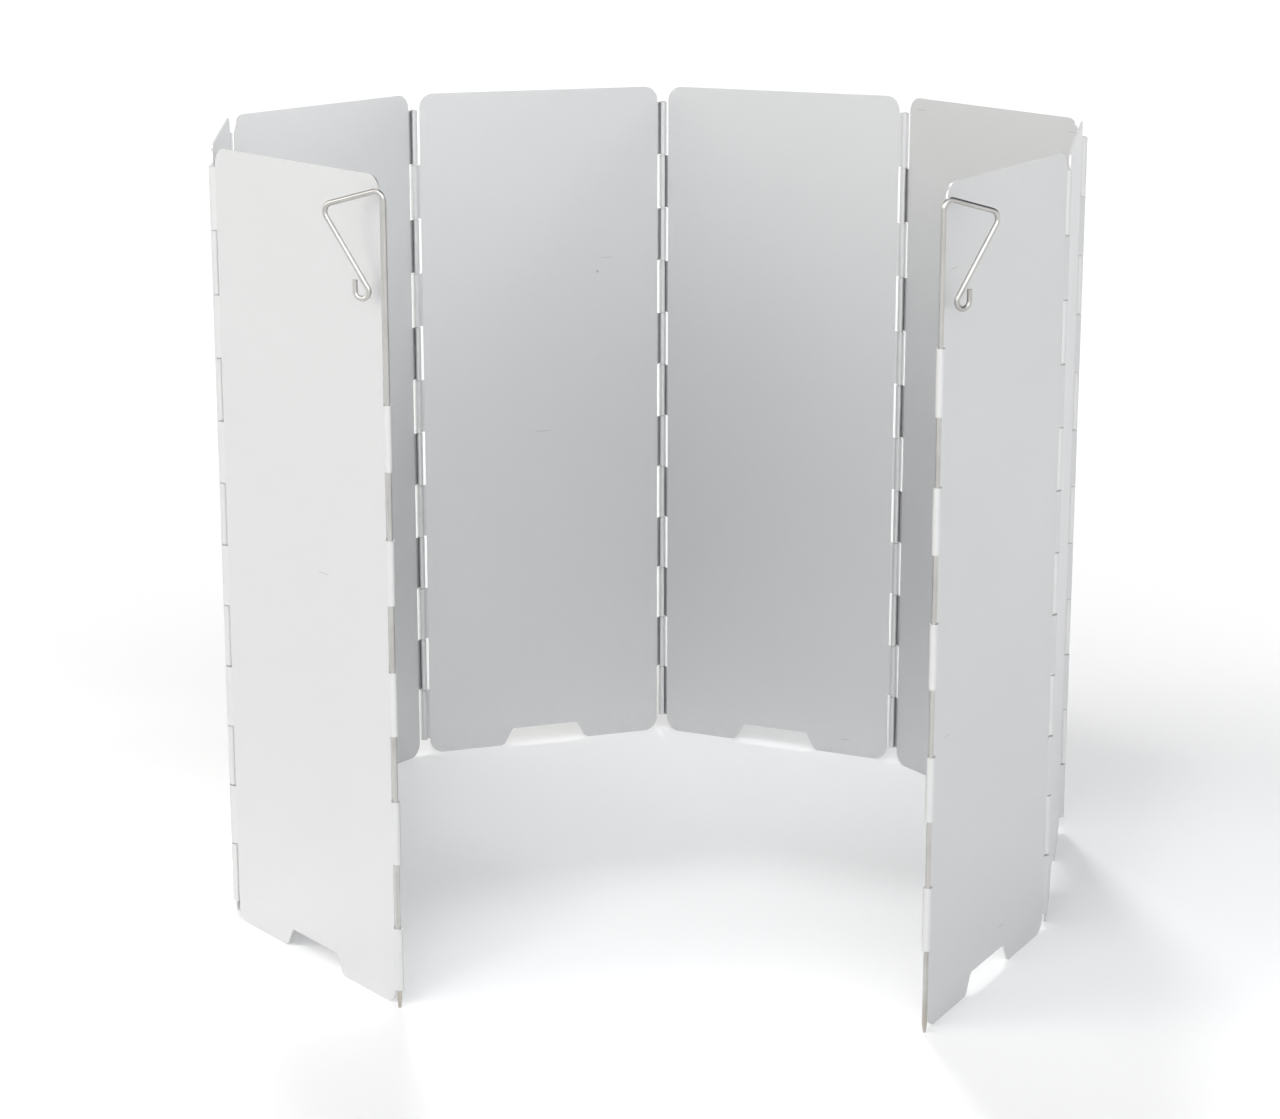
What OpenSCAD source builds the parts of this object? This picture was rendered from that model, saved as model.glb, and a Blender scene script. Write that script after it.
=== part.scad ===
// Folding stove windscreen: eight sheet panels on wire hinges, with a ground stake in each free edge.
// Panels count from the left free edge, as seen from the open front, round the back to the right one.
// Upright lines count with them: 0 is the left free edge, 1 to 7 are the hinges, 8 is the right free edge.

/* [Panels] */
// Height of a panel
panel_height = 240; // [150:1:320]
// Distance between the upright lines of one panel, along its sheet
panel_pitch = 93; // [75:1:140]
// Thickness of the sheet
sheet = 0.5; // [0.4:0.05:0.8]
// Radius of a panel's four outer corners
corner_radius = 5; // [3:0.5:9]
// Width of the vent notch where it meets the ground
notch_width = 32; // [20:1:40]
// Height of the vent notch
notch_height = 6.2; // [4:0.2:10]
// How far each side of the notch leans inwards
notch_lean = 3.5; // [2.5:0.5:5]
// Radius of the notch's corners
notch_radius = 1.5; // [0.5:0.1:1.6]

/* [Hinges] */
// Diameter of the hinge wires and the stakes
wire = 1.5; // [1.2:0.1:2]
// Radial clearance between a wire and the fingers rolled round it
wire_clearance = 0.05; // [0.03:0.01:0.1]
// Number of fingers along a hinge, from both panels together
fingers = 12; // [10:2:16]
// Upright gap between neighbouring fingers
finger_gap = 0.4; // [0.2:0.1:0.8]
// Upright distance between a panel's round corner and its nearest finger
finger_margin = 0.4; // [0.2:0.1:2]
// Gap between a rolled finger and the next panel's cut edge
edge_gap = 1.1; // [0.8:0.1:2]
// Where the roll of a finger ends, in degrees round from its far side
roll_end = 150; // [120:5:155]
// Gap between two sheets that are folded flat on each other
fold_gap = 0.4; // [0.3:0.05:0.8]

/* [Rest pose] */
// Inward bend at hinge 1, from flat, in degrees
bend_1 = 33.5; // [20:0.5:42]
// Inward bend at hinge 2
bend_2 = 39.5; // [20:0.5:42]
// Inward bend at hinge 3
bend_3 = 35; // [20:0.5:42]
// Inward bend at hinge 4
bend_4 = 45.5; // [20:0.5:48]
// Inward bend at hinge 5
bend_5 = 32; // [20:0.5:42]
// Inward bend at hinge 6
bend_6 = 42.5; // [20:0.5:44]
// Inward bend at hinge 7
bend_7 = 18.5; // [10:0.5:42]

/* [Stakes] */
// Height of a stake from its point to the top of its handle, less the panel's height
stake_rise = -3.4; // [-6:0.1:10]
// Length of the stake's point
point_length = 2.5; // [1:0.5:10]
// Radius of the blunt end of the point
point_radius = 0.4; // [0.1:0.05:0.5]
// Straight length of the handle's top
handle_top = 13.5; // [8:0.5:30]
// How far the handle's top slopes down, in degrees
handle_droop = 15.5; // [0:0.5:25]
// Straight length of the handle's side
handle_side = 22.5; // [18:0.5:26]
// Lean of the handle's side from upright, in degrees
handle_lean = 33; // [25:1:36]
// Radius of the handle's bends, at the middle of the wire
handle_bend = 2.5; // [2:0.1:4]
// Radius of the hook that ends the handle, at the middle of the wire
hook_radius = 2.1; // [1.8:0.1:2.6]
// Straight length of the hook's end
hook_end = 3; // [1:0.5:4]
// Turn of the handle away from the panel's outer face, in degrees
handle_swing = 30; // [20:1:90]
// Fingers' places left free below the top of the left edge, for the handle to slide down
left_free = 3; // [1:2:5]
// Fingers' places left free below the top of the right edge
right_free = 2; // [0:2:4]

/* [Hidden] */
$fn = 64;

panel_colour = [0.86, 0.87, 0.88];
wire_colour = [0.62, 0.62, 0.63];
stake_colour = [0.78, 0.77, 0.74];

// A hinge's barrel, from the wire outwards
bore_radius = wire / 2 + wire_clearance;
barrel_radius = bore_radius + sheet;
roll_radius = bore_radius + sheet / 2;
// Distance from an upright line to the panel's cut edge
edge_setback = barrel_radius + edge_gap;
// The wire stands off the sheet's middle by half of what two folded sheets need
wire_offset = (sheet + fold_gap) / 2;
// The web of a finger stays this far inside the faces and ends of its roll, and runs this far into the roll
web_relief = 0.02;
web_overlap = 0.1;
// A straight of a wire runs this far into its bend
bend_overlap = 0.05;
// A bend is this much thicker than the straight wire, as bent wire is
bend_swell = 0.01;
column_top = panel_height - corner_radius - finger_margin;
column_bottom = corner_radius + finger_margin;
finger_pitch = (column_top - column_bottom) / fingers;

panels = 8;
bends = [0, bend_1, bend_2, bend_3, bend_4, bend_5, bend_6, bend_7];
root_panel = 4;
// The two back panels lie evenly about the Y axis
root_heading = bends[root_panel] / 2;

// Odd hinges fold inwards, so the sheet lies outside the wire there; even lines are the other way round
function offset_at(line) = line % 2 == 1 ? wire_offset : -wire_offset;
function turned(v, angle) = [v.x * cos(angle) - v.y * sin(angle), v.x * sin(angle) + v.y * cos(angle)];
// Direction in plan of a panel's sheet, from its left line to its right one
function heading(panel) =
    panel == root_panel ? root_heading
    : panel > root_panel ? heading(panel - 1) - bends[panel - 1]
    : heading(panel + 1) + bends[panel];
function span(panel) = turned([panel_pitch, offset_at(panel - 1) - offset_at(panel)], heading(panel));
// Place in plan of an upright line, measured from hinge 4
function raw_line(line) =
    line == root_panel ? [0, 0]
    : line > root_panel ? raw_line(line - 1) + span(line)
    : raw_line(line + 1) - span(line + 1);
raw_lines = [for (line = [0:panels]) raw_line(line)];
raw_x = [for (p = raw_lines) p.x];
raw_y = [for (p = raw_lines) p.y];
centre = [(min(raw_x) + max(raw_x)) / 2, (min(raw_y) + max(raw_y)) / 2];
lines = [for (p = raw_lines) p - centre];

// Places of the fingers, counted down from the top: odd on a left edge, even on a right edge
function left_places(panel) = [for (i = [1:2:fingers - 1]) if (panel > 1 || i >= left_free) i];
function right_places(panel) = [for (i = [0:2:fingers - 1]) if (panel < panels || i >= right_free) i];
// Height of the bottom of the finger at a place
function finger_height(place) = column_top - (place + 1) * finger_pitch + finger_gap / 2;

// Outline of a panel from its left line, lying down: the sheet runs along X and stands along Y
module panel_outline() {
    left = edge_setback + corner_radius;
    right = panel_pitch - left;
    difference() {
        union() {
            translate([edge_setback, corner_radius])
                square([panel_pitch - 2 * edge_setback, panel_height - 2 * corner_radius]);
            translate([left, 0])
                square([right - left, panel_height]);
            for (x = [left, right])
                for (y = [corner_radius, panel_height - corner_radius])
                    translate([x, y])
                        circle(corner_radius);
        }
        translate([panel_pitch / 2, 0]) {
            notch_half();
            mirror([1, 0])
                notch_half();
        }
    }
}

// Right half of the vent notch, with a round inner corner and a rounded tip of the foot beside it
module notch_half() {
    slope = atan2(notch_height, notch_lean);
    foot = notch_width / 2;
    crown = foot - notch_lean;
    // Distance from a corner to where its round starts: the inner corner and the foot's tip turn alike
    start = notch_radius * tan(slope / 2);
    along = [cos(slope), sin(slope)];
    inner = [crown, notch_height];
    tip = [foot, 0];
    below = notch_radius;
    polygon([
        [0, -below],
        [foot + start, -below],
        [foot + start, 0],
        tip - start * [along.x, -along.y],
        inner + start * [along.x, -along.y],
        inner - [start, 0],
        [0, notch_height]
    ]);
    translate(inner - [start, notch_radius])
        circle(notch_radius);
    difference() {
        polygon([[foot + start, 0], tip, tip - start * [along.x, -along.y]]);
        translate([foot + start, notch_radius])
            circle(notch_radius);
    }
}

// One finger of a right edge about its upright line: a web off the sheet, rolled round the wire,
// open on the inner side. The sheet's middle lies at Y = stand_off.
module finger(stand_off) {
    root = [-edge_setback, stand_off];
    reach = norm(root);
    roll_start = atan2(root.y, root.x) - acos(roll_radius / reach);
    // atan2 gives a negative angle below the X axis, where a full turn is added
    start = root.y < 0 ? roll_start + 360 : roll_start;
    touch = roll_radius * [cos(start), sin(start)];
    along = (touch - root) / norm(touch - root);
    tip = touch + web_overlap * along;
    across = [cos(start), sin(start)] * (sheet / 2 - web_relief);
    height = finger_pitch - finger_gap;
    translate([0, 0, web_relief])
        linear_extrude(height - 2 * web_relief)
            polygon([root - across, tip - across, tip + across, root + across]);
    translate([each root, 2 * web_relief])
        cylinder(h = height - 4 * web_relief, d = sheet - web_relief);
    rotate(-roll_end)
        rotate_extrude(angle = start + roll_end)
            translate([bore_radius, 0])
                square([sheet, height]);
}

// A panel stands in place: its left line, its heading, then the sheet and both rows of fingers
module panel(number) {
    left_offset = offset_at(number - 1);
    right_offset = offset_at(number);
    color(panel_colour)
        translate(lines[number - 1])
            rotate(heading(number)) {
                translate([0, left_offset + sheet / 2, 0])
                    rotate([90, 0, 0])
                        linear_extrude(sheet)
                            panel_outline();
                for (i = left_places(number))
                    translate([0, 0, finger_height(i)])
                        mirror([1, 0, 0])
                            finger(left_offset);
                for (i = right_places(number))
                    translate([panel_pitch, left_offset - right_offset, finger_height(i)])
                        finger(right_offset);
            }
}

// The wire of one hinge, as long as its column of fingers
module hinge_wire(line) {
    color(wire_colour)
        translate([each lines[line], column_bottom])
            cylinder(h = column_top - column_bottom, d = wire);
}

// Bent wire in the XZ plane: each step is a straight length, then a turn towards +X about a radius.
// A turn below zero bends the other way. Headings are degrees from +Z towards +X.
function step_heading(steps, i) = i == 0 ? 0 : step_heading(steps, i - 1) + steps[i - 1][1];
function side_of(turn) = turn < 0 ? -1 : 1;
function after_straight(steps, i) =
    step_place(steps, i) + steps[i][0] * [sin(step_heading(steps, i)), cos(step_heading(steps, i))];
// A turn moves the wire along and across its heading
function step_place(steps, i) =
    i == 0 ? [0, 0]
    : let (
        heading = step_heading(steps, i - 1),
        turn = steps[i - 1][1],
        along = steps[i - 1][2] * sin(abs(turn)),
        across = steps[i - 1][2] * (1 - cos(turn)) * side_of(turn)
    )
    after_straight(steps, i - 1)
        + along * [sin(heading), cos(heading)]
        + across * [cos(heading), -sin(heading)];
module bent_wire(steps) {
    for (i = [0:len(steps) - 1])
        translate([step_place(steps, i).x, 0, step_place(steps, i).y])
            rotate([0, step_heading(steps, i), 0])
                translate([0, 0, i == 0 ? 0 : -bend_overlap])
                    cylinder(h = steps[i][0] + (i == 0 ? 1 : 2) * bend_overlap, d = wire);
    for (i = [0:len(steps) - 2])
        translate([after_straight(steps, i).x, 0, after_straight(steps, i).y])
            rotate([0, step_heading(steps, i), 0])
                wire_bend(steps[i][1], steps[i][2]);
}
module wire_bend(turn, radius) {
    rotate(turn < 0 ? 180 : 0)
        translate([radius, 0, 0])
            rotate([90, 0, 0])
                rotate(180 - abs(turn))
                    rotate_extrude(angle = abs(turn))
                        translate([radius, 0])
                            circle(d = wire + bend_swell);
}

// A ground stake with its handle towards +X: point, shaft, sloping top, leaning side, hook
module stake() {
    shaft = panel_height + stake_rise - handle_bend - wire / 2 - point_length;
    color(stake_colour) {
        cylinder(h = point_length, r1 = point_radius, d2 = wire);
        translate([0, 0, point_length])
            bent_wire([
                [shaft, 90 + handle_droop, handle_bend],
                [handle_top, 90 + handle_lean - handle_droop, handle_bend],
                [handle_side, -180 - handle_lean, hook_radius],
                [hook_end, 0, 0]
            ]);
    }
}
module stake_left() {
    translate(lines[0])
        rotate(heading(1) + handle_swing)
            stake();
}
module stake_right() {
    translate(lines[panels])
        rotate(heading(panels) + 180 - handle_swing)
            stake();
}

for (number = [1:panels])
    panel(number);
for (line = [1:panels - 1])
    hinge_wire(line);
stake_left();
stake_right();
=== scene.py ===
import math

import bpy
import numpy as np
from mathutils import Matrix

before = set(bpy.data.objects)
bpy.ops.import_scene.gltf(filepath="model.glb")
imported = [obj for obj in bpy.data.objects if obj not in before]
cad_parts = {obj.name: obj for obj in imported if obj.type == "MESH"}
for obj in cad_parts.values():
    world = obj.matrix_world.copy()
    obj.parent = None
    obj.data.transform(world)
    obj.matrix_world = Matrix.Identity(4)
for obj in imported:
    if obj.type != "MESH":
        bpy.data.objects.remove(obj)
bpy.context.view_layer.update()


# Panels: eight blanks of thin aluminium sheet, sheared, with vent notches, round corners and fingers
# rolled round the hinge wires. The sheet is satin anodised, with a few marks of use, and it is a little
# smoother where it is cut or rolled.
panel_bends = (33.5, 39.5, 35, 45.5, 32, 42.5, 18.5)  # degrees from one panel to the next, left to right
first_heading = sum(panel_bends[:3]) + panel_bends[3] / 2  # degrees in plan; panels 4 and 5 lean alike
panel_headings = first_heading - np.cumsum((0, *panel_bends))
sheet_colour = (0.664, 0.668, 0.671, 1)
sheet_cloud = (0.643, 0.648, 0.653, 1)
cut_edge_colour = (0.66, 0.66, 0.655, 1)
speck_colour = (0.42, 0.42, 0.42, 1)
scratch_colour = (0.50, 0.50, 0.505, 1)
sheet_metallic = 0.85
sheet_roughness = (0.44, 0.62)  # where the grain's gloss value is 0, and where it is at its top
gloss_top = 1.5
scuff_roughness = 0.25  # added where a foot is scuffed
edge_roughness = -0.10  # added where the sheet is cut or rolled
edge_share = (0.75, 0.3)  # the normal's share across the sheet where an edge starts, and where it is full
grain_depth = 0.00002  # metres
grain_strength = 0.22
cloud_waves = 16  # to the metre
cloud_gloss = 0.5  # to 1 of the speckle
speckle_waves = 3200  # to the metre
streak_waves = (900, 900, 14)  # to the metre, level both ways and up
streak_height = 0.35  # to 1 of the speckle
mark_cells = 45  # to the metre
scratch_squeeze = (1, 1, 22)
scuff_height = 0.009  # metres
scuff_waves = 420  # to the metre


def feed(tree, entry, value):
    """Link the output of another node to this entry, or set the entry to a plain value."""
    if isinstance(value, bpy.types.NodeSocket):
        tree.links.new(value, entry)
    else:
        entry.default_value = value


def add_noise(tree, vector, waves, detail):
    """Smooth noise on the vector, with this many waves to its unit and this many finer layers on top."""
    noise = tree.nodes.new("ShaderNodeTexNoise")
    noise.inputs["Scale"].default_value = waves
    noise.inputs["Detail"].default_value = detail
    tree.links.new(vector, noise.inputs["Vector"])
    return noise.outputs["Fac"]


def add_stretch(tree, vector, scale):
    """The vector with each of its three parts times its own scale."""
    stretch = tree.nodes.new("ShaderNodeMapping")
    stretch.inputs["Scale"].default_value = scale
    tree.links.new(vector, stretch.inputs["Vector"])
    return stretch.outputs["Vector"]


def add_height(tree, vector):
    """The upright part of the vector."""
    parts = tree.nodes.new("ShaderNodeSeparateXYZ")
    tree.links.new(vector, parts.inputs["Vector"])
    return parts.outputs["Z"]


def add_ramp(tree, value, start, end, low=0, high=1):
    """A straight ramp from low, where the value is start, to high, where it is end, and level past both."""
    ramp = tree.nodes.new("ShaderNodeMapRange")
    for name, number in (("From Min", start), ("From Max", end), ("To Min", low), ("To Max", high)):
        ramp.inputs[name].default_value = number
    tree.links.new(value, ramp.inputs["Value"])
    return ramp.outputs["Result"]


def add_math(tree, operation, *values):
    """The operation worked on the values, each a number or the output of another node."""
    math_node = tree.nodes.new("ShaderNodeMath")
    math_node.operation = operation
    for entry, value in zip(math_node.inputs, values):
        feed(tree, entry, value)
    return math_node.outputs["Value"]


def add_mix(tree, factor, first, second):
    """The first colour where the factor is 0, and the second where it is 1."""
    mix = tree.nodes.new("ShaderNodeMix")
    mix.data_type = "RGBA"
    tree.links.new(factor, mix.inputs["Factor"])
    feed(tree, mix.inputs["A"], first)
    feed(tree, mix.inputs["B"], second)
    return mix.outputs["Result"]


def add_bump(tree, height, strength, depth):
    """The normal tilted by the slope of a height that is this deep at its full value."""
    bump = tree.nodes.new("ShaderNodeBump")
    bump.inputs["Strength"].default_value = strength
    bump.inputs["Distance"].default_value = depth
    tree.links.new(height, bump.inputs["Height"])
    return bump.outputs["Normal"]


def add_cell_marks(tree, vector, gone, full, rarity):
    """Marks at the points of random cells: full up to one distance from the point, gone at the other, and
    kept only in the cells whose own random value is over the rarity."""
    cells = tree.nodes.new("ShaderNodeTexVoronoi")
    cells.inputs["Scale"].default_value = mark_cells
    tree.links.new(vector, cells.inputs["Vector"])
    draw = tree.nodes.new("ShaderNodeSeparateColor")
    tree.links.new(cells.outputs["Color"], draw.inputs["Color"])
    near = add_ramp(tree, cells.outputs["Distance"], gone, full)
    kept = add_math(tree, "GREATER_THAN", draw.outputs["Red"], rarity)
    return add_math(tree, "MULTIPLY", near, kept)


def start_group(name, outputs):
    """An empty shader group that takes a vector and puts out the named values, with its two end nodes."""
    group = bpy.data.node_groups.new(name, "ShaderNodeTree")
    group.interface.new_socket("Vector", in_out="INPUT", socket_type="NodeSocketVector")
    for output in outputs:
        group.interface.new_socket(output, in_out="OUTPUT", socket_type="NodeSocketFloat")
    return group, group.nodes.new("NodeGroupInput"), group.nodes.new("NodeGroupOutput")


def add_group(tree, group, vector):
    """The group placed in a material's tree and fed with the vector; what it puts out."""
    placed = tree.nodes.new("ShaderNodeGroup")
    placed.node_tree = group
    tree.links.new(vector, placed.inputs["Vector"])
    return placed.outputs


def make_anodised_grain():
    """Fine satin grain of anodised sheet: a speckle 0.3 mm across for height and gloss, rolling streaks
    that run up the sheet, and soft clouds of tone some 60 mm across, all from noise on the given vector."""
    group, entry, leave = start_group("anodised_grain", ("Cloud", "Gloss", "Height"))
    vector = entry.outputs["Vector"]
    cloud = add_noise(group, vector, cloud_waves, detail=3)
    speckle = add_noise(group, vector, speckle_waves, detail=2)
    streak = add_noise(group, add_stretch(group, vector, streak_waves), waves=1, detail=2)
    gloss = add_math(group, "MULTIPLY_ADD", cloud, cloud_gloss, speckle)
    height = add_math(group, "MULTIPLY_ADD", streak, streak_height, speckle)
    for name, value in (("Cloud", cloud), ("Gloss", gloss), ("Height", height)):
        group.links.new(value, leave.inputs[name])
    return group


anodised_grain = make_anodised_grain()


def make_handling_marks():
    """Marks of use: sparse specks up to 1 mm across, where a cell point is near and its random value is high,
    a few level scratches up to 6 mm long, from cells squeezed in height in the same way, and a band of
    ground scuffs that fades out from the feet to 9 mm up, broken by noise."""
    group, entry, leave = start_group("handling_marks", ("Speck", "Scratch", "Scuff"))
    vector = entry.outputs["Vector"]
    speck = add_cell_marks(group, vector, gone=0.028, full=0.014, rarity=0.8)
    squeezed = add_stretch(group, vector, scratch_squeeze)
    scratch = add_cell_marks(group, squeezed, gone=0.16, full=0.10, rarity=0.995)
    low = add_ramp(group, add_height(group, vector), scuff_height, 0)
    scuff = add_math(group, "MULTIPLY", low, add_noise(group, vector, scuff_waves, detail=4))
    for name, value in (("Speck", speck), ("Scratch", scratch), ("Scuff", scuff)):
        group.links.new(value, leave.inputs[name])
    return group


handling_marks = make_handling_marks()


def make_satin_sheet(name, heading):
    """Satin sheet for a panel with this heading. The size of the normal's share across the sheet is 1 on its
    two faces and small where it is cut or rolled, and there the metal is a little smoother. The tone is mixed
    from the sheet's and the cloud's, and then with those of edges, specks and scratches by their masks."""
    material = bpy.data.materials.new(name)
    material.use_nodes = True
    tree = material.node_tree
    shader = tree.nodes["Principled BSDF"]
    shader.inputs["Metallic"].default_value = sheet_metallic
    place = tree.nodes.new("ShaderNodeTexCoord")
    grain = add_group(tree, anodised_grain, place.outputs["Object"])
    marks = add_group(tree, handling_marks, place.outputs["Object"])

    turn = math.radians(heading)
    share = tree.nodes.new("ShaderNodeVectorMath")
    share.operation = "DOT_PRODUCT"
    share.inputs[1].default_value = (-math.sin(turn), math.cos(turn), 0)
    tree.links.new(place.outputs["Normal"], share.inputs[0])
    edge = add_ramp(tree, add_math(tree, "ABSOLUTE", share.outputs["Value"]), *edge_share)

    tone = add_mix(tree, grain["Cloud"], sheet_colour, sheet_cloud)
    tone = add_mix(tree, edge, tone, cut_edge_colour)
    tone = add_mix(tree, marks["Speck"], tone, speck_colour)
    tone = add_mix(tree, marks["Scratch"], tone, scratch_colour)
    tree.links.new(tone, shader.inputs["Base Color"])

    rough = add_ramp(tree, grain["Gloss"], 0, gloss_top, *sheet_roughness)
    rough = add_math(tree, "MULTIPLY_ADD", marks["Scuff"], scuff_roughness, rough)
    rough = add_math(tree, "MULTIPLY_ADD", edge, edge_roughness, rough)
    tree.links.new(rough, shader.inputs["Roughness"])
    tree.links.new(add_bump(tree, grain["Height"], grain_strength, grain_depth), shader.inputs["Normal"])
    return material


def dress(piece_name, material):
    """Give the piece of this name the material as its only one."""
    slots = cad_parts[piece_name].data.materials
    slots.clear()
    slots.append(material)


for number, heading in enumerate(panel_headings, start=1):
    dress(f"panel_{number}", make_satin_sheet(f"satin_sheet_{number}", heading))


# Hinge wires: straight lengths of drawn stainless wire, pushed through the fingers of two panels.
# They are grey, with a darker film in patches, and show in the gaps between the fingers.
hinge_wire_colour = (0.58, 0.58, 0.585, 1)
hinge_film_colour = (0.42, 0.42, 0.43, 1)
hinge_wire_roughness = 0.38
wire_streak_roughness = 0.08  # more or less of it from streak to streak
wire_streak_depth = 0.00001  # metres
wire_streak_strength = 0.2
wire_streak_waves = (5200, 5200, 60)  # to the metre, across the wire both ways and up
wire_film_waves = 85  # to the metre
wire_film_range = (0.45, 0.75)  # of its noise, where the film starts and where it is full


def make_drawn_lines():
    """Lines left by the drawing die: noise squeezed across the wire and stretched along its height, so that
    it reads as fine upright streaks, with a slower film of tone every 12 mm or so."""
    group, entry, leave = start_group("drawn_lines", ("Streak", "Film"))
    vector = entry.outputs["Vector"]
    streak = add_noise(group, add_stretch(group, vector, wire_streak_waves), waves=1, detail=3)
    film = add_noise(group, vector, wire_film_waves, detail=3)
    group.links.new(streak, leave.inputs["Streak"])
    group.links.new(film, leave.inputs["Film"])
    return group


drawn_lines = make_drawn_lines()


def make_drawn_wire(name, clean, film, roughness):
    """Drawn wire: the clean metal and its film mixed by slow noise, with streaks in gloss and height."""
    material = bpy.data.materials.new(name)
    material.use_nodes = True
    tree = material.node_tree
    shader = tree.nodes["Principled BSDF"]
    shader.inputs["Metallic"].default_value = 1.0
    place = tree.nodes.new("ShaderNodeTexCoord")
    lines = add_group(tree, drawn_lines, place.outputs["Object"])
    filmed = add_ramp(tree, lines["Film"], *wire_film_range)
    tree.links.new(add_mix(tree, filmed, clean, film), shader.inputs["Base Color"])
    smoothest = roughness - wire_streak_roughness
    roughest = roughness + wire_streak_roughness
    tree.links.new(add_ramp(tree, lines["Streak"], 0, 1, smoothest, roughest), shader.inputs["Roughness"])
    ridges = add_bump(tree, lines["Streak"], wire_streak_strength, wire_streak_depth)
    tree.links.new(ridges, shader.inputs["Normal"])
    return material


hinge_steel = make_drawn_wire("hinge_steel", hinge_wire_colour, hinge_film_colour, hinge_wire_roughness)
for number in range(1, len(panel_bends) + 1):
    dress(f"hinge_wire_{number}", hinge_steel)


# Ground stakes: drawn steel wire, bent into a three-sided handle with a hooked end, and ground to a blunt
# point. They slide in the free edges' fingers, and are stained a little where the point meets soil.
stake_colour = (0.53, 0.522, 0.505, 1)
stake_film_colour = (0.43, 0.422, 0.405, 1)
stake_roughness = 0.30
soil_colour = (0.40, 0.345, 0.28, 1)
soil_top = 0.014  # metres up the stake where the stain ends
soil_full = 0.001  # metres up the stake where the stain is strongest
soil_waves = 600  # to the metre


def stain_point(material):
    """A soil stain over the wire's tone: strongest at the tip, gone 14 mm up, and broken by noise."""
    tree = material.node_tree
    base = tree.nodes["Principled BSDF"].inputs["Base Color"]
    place = tree.nodes.new("ShaderNodeTexCoord")
    low = add_ramp(tree, add_height(tree, place.outputs["Object"]), soil_top, soil_full)
    patches = add_noise(tree, place.outputs["Object"], soil_waves, detail=3)
    stain = add_math(tree, "MULTIPLY", low, patches)
    tree.links.new(add_mix(tree, stain, base.links[0].from_socket, soil_colour), base)


stake_steel = make_drawn_wire("stake_steel", stake_colour, stake_film_colour, stake_roughness)
stain_point(stake_steel)
for side in ("left", "right"):
    dress(f"stake_{side}", stake_steel)


# Studio: a wide white floor that rises at its far edges, so that no horizon shows, with pale light from the
# front and a backdrop behind. Lamps hang high behind, in front and on the left, and two small ones have
# grids: one is for the inside of the left panels, and one for the floor behind panel_5.
floor_half = 9.0  # metres from the middle to each side
floor_lines = 41  # of the grid, each way
floor_even = 0.25  # share of the spacing that is even
floor_flat = 6.0  # metres from the middle to where the floor starts to rise
floor_rise = 0.12  # metres up at one metre past the flat part
floor_colour = (0.93, 0.93, 0.93, 1)
floor_roughness = 0.9
floor_sheen = 0.1
side_lights = [  # axis of the ray, where on it the light starts and where it is full, and its colour
    ("X", 0, 1, (0.02, 0.03, 0.05)),  # a little from the right
    ("Y", 0, -1, (3.10, 3.12, 3.15)),  # most of it from the front
    ("Y", 0.6, 1, (1.0, 1.0, 1.0)),  # from the backdrop behind
]
backdrop_white = (1.05, 1.05, 1.05, 1)
lamp_white = (1, 1, 1)
lamp_warm = (1, 0.95, 0.855)
photo_width = 1280  # pixels
photo_focal_length = 3035.46  # pixels
camera_place = (0.04755, -0.9500, 0.33689)
camera_tilt = 13.921  # degrees below level
camera_turn = 3.027  # degrees to the left
camera_reach = 60  # metres
sensor_width = 36  # millimetres


def make_floor():
    """A square grid at the height of the ground, spaced in part evenly and in part by the cube of each
    coordinate, so that it is finer near the object. Past its flat part the floor rises by a constant times
    the square of the extra distance."""
    steps = np.linspace(-1, 1, floor_lines)
    spaced = floor_half * (floor_even * steps + (1 - floor_even) * steps ** 3)
    x, y = np.meshgrid(spaced, spaced, indexing="ij")
    reach = np.maximum(np.hypot(x, y) - floor_flat, 0)
    points = np.stack([x, y, floor_rise * reach ** 2], axis=-1).reshape(-1, 3)
    index = np.arange(floor_lines ** 2).reshape(floor_lines, floor_lines)
    corners = [index[:-1, :-1], index[1:, :-1], index[1:, 1:], index[:-1, 1:]]
    quads = np.stack(corners, axis=-1).reshape(-1, 4)
    mesh = bpy.data.meshes.new("floor")
    mesh.from_pydata(points.tolist(), [], quads.tolist())
    mesh.shade_smooth()
    floor = bpy.data.objects.new("floor", mesh)
    bpy.context.scene.collection.objects.link(floor)
    return floor


floor = make_floor()
floor_paper = bpy.data.materials.new("floor_paper")
floor_paper.use_nodes = True
paper_shader = floor_paper.node_tree.nodes["Principled BSDF"]
paper_shader.inputs["Base Color"].default_value = floor_colour
paper_shader.inputs["Roughness"].default_value = floor_roughness
paper_shader.inputs["Specular IOR Level"].default_value = floor_sheen
floor.data.materials.append(floor_paper)

studio = bpy.data.worlds.new("studio")
studio.use_nodes = True
bpy.context.scene.world = studio
sky = studio.node_tree
ray_way = sky.nodes.new("ShaderNodeTexCoord")
ray_parts = sky.nodes.new("ShaderNodeSeparateXYZ")
sky.links.new(ray_way.outputs["Generated"], ray_parts.inputs["Vector"])
light_sum = (0, 0, 0)
for axis, start, full, colour in side_lights:
    adder = sky.nodes.new("ShaderNodeVectorMath")
    adder.operation = "MULTIPLY_ADD"
    adder.inputs[1].default_value = colour
    sky.links.new(add_ramp(sky, ray_parts.outputs[axis], start, full), adder.inputs[0])
    feed(sky, adder.inputs[2], light_sum)
    light_sum = adder.outputs["Vector"]
ray_kind = sky.nodes.new("ShaderNodeLightPath")
seen_light = add_mix(sky, ray_kind.outputs["Is Camera Ray"], light_sum, backdrop_white)
sky.links.new(seen_light, sky.nodes["Background"].inputs["Color"])


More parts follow.
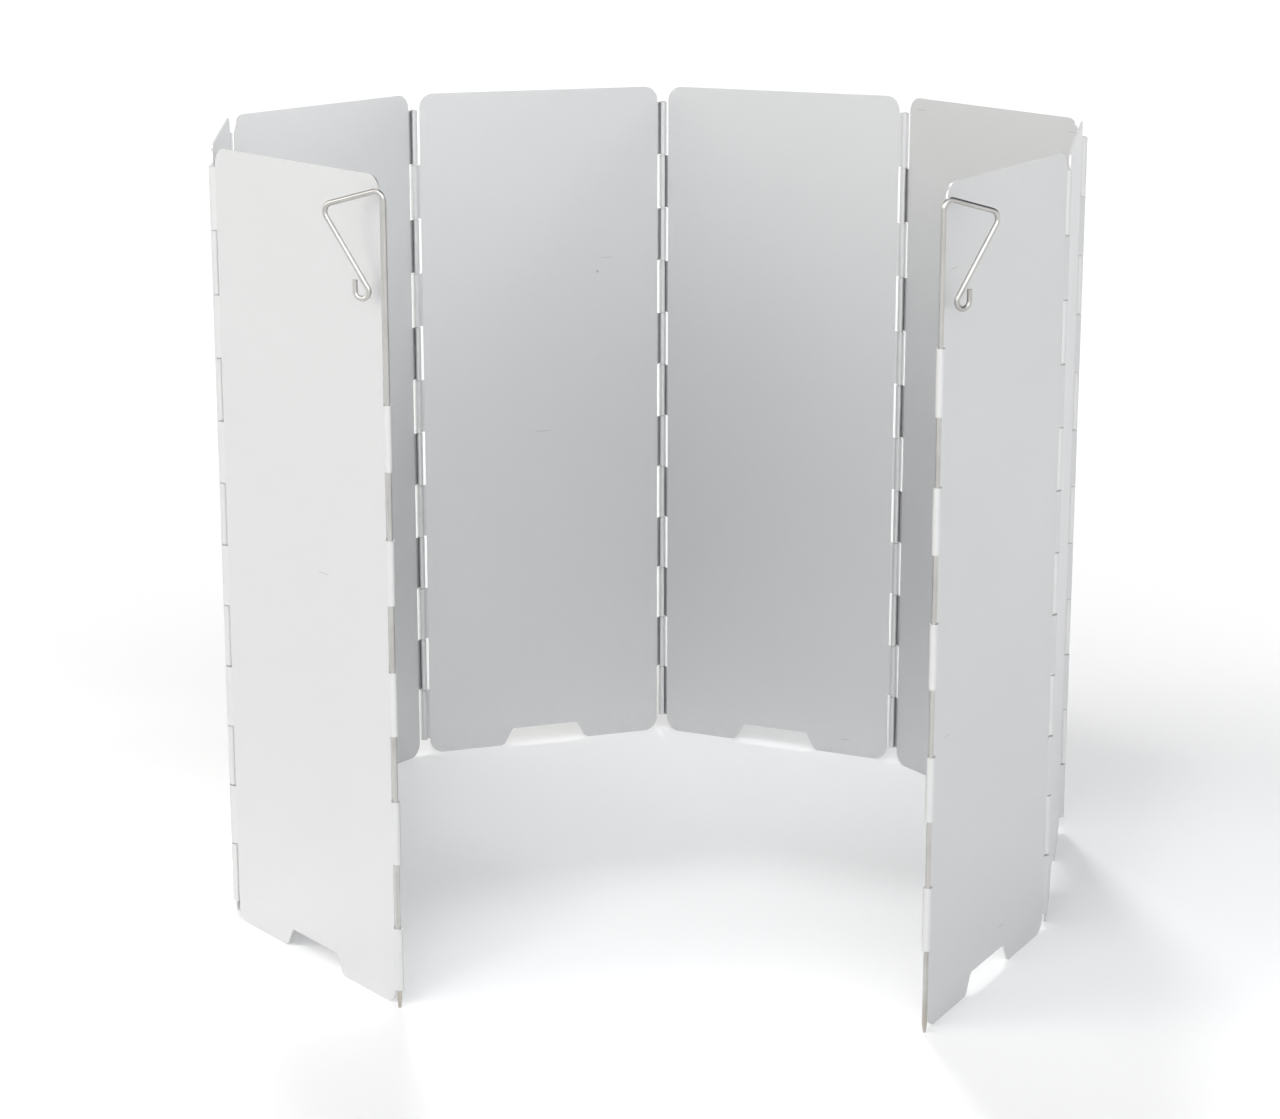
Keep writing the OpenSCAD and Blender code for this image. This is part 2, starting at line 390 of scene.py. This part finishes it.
def hang_lamp(lamp, towards):
    """An object for the lamp, turned so that it shines along the direction, and hidden from the camera."""
    across = math.hypot(towards[0], towards[1])
    hung = bpy.data.objects.new(lamp.name, lamp)
    hung.rotation_euler = (math.atan2(across, -towards[2]), 0, math.atan2(-towards[0], towards[1]))
    hung.visible_camera = False
    bpy.context.scene.collection.objects.link(hung)
    return hung


def make_sun(name, towards, colour, strength, spread):
    """A soft distant light that shines along the given direction, with its disc this many degrees across."""
    lamp = bpy.data.lights.new(name, "SUN")
    lamp.color = colour
    lamp.energy = strength
    lamp.angle = math.radians(spread)
    hang_lamp(lamp, towards)


make_sun("high_back", (0.034, -0.150, -0.240), lamp_white, strength=0.66, spread=8)
make_sun("high_front", (0.050, 0.085, -0.240), lamp_white, strength=0.22, spread=7)
make_sun("left_softbox", (0.80, 0.20, -0.75), lamp_white, strength=0.42, spread=40)
make_sun("left_panel", (0.90, 0.10, -0.30), lamp_warm, strength=0.92, spread=40)


def make_grid_lamp(name, place, aim, width, power, spread):
    """A round lamp with a grid, this wide, that shines from its place to its aim, within so many degrees."""
    lamp = bpy.data.lights.new(name, "AREA")
    lamp.shape = "DISK"
    lamp.size = width
    lamp.energy = power
    lamp.spread = math.radians(spread)
    hang_lamp(lamp, np.subtract(aim, place)).location = place


make_grid_lamp("right_fill", (0.30, 0.12, 0.48), (-0.13, 0.02, 0.19), width=0.16, power=0.093, spread=34)
make_grid_lamp("back_fill", (0.15, 0.33, 0.30), (0.058, 0.136, 0), width=0.06, power=0.0075, spread=34)

bpy.context.scene.view_settings.view_transform = "Standard"
bpy.context.scene.view_settings.look = "None"

lens = bpy.data.cameras.new("camera")
lens.sensor_width = sensor_width
lens.lens = photo_focal_length / photo_width * sensor_width
lens.clip_end = camera_reach
camera = bpy.data.objects.new("camera", lens)
camera.location = camera_place
camera.rotation_euler = (math.radians(90 - camera_tilt), 0, math.radians(camera_turn))
bpy.context.scene.collection.objects.link(camera)
bpy.context.scene.camera = camera
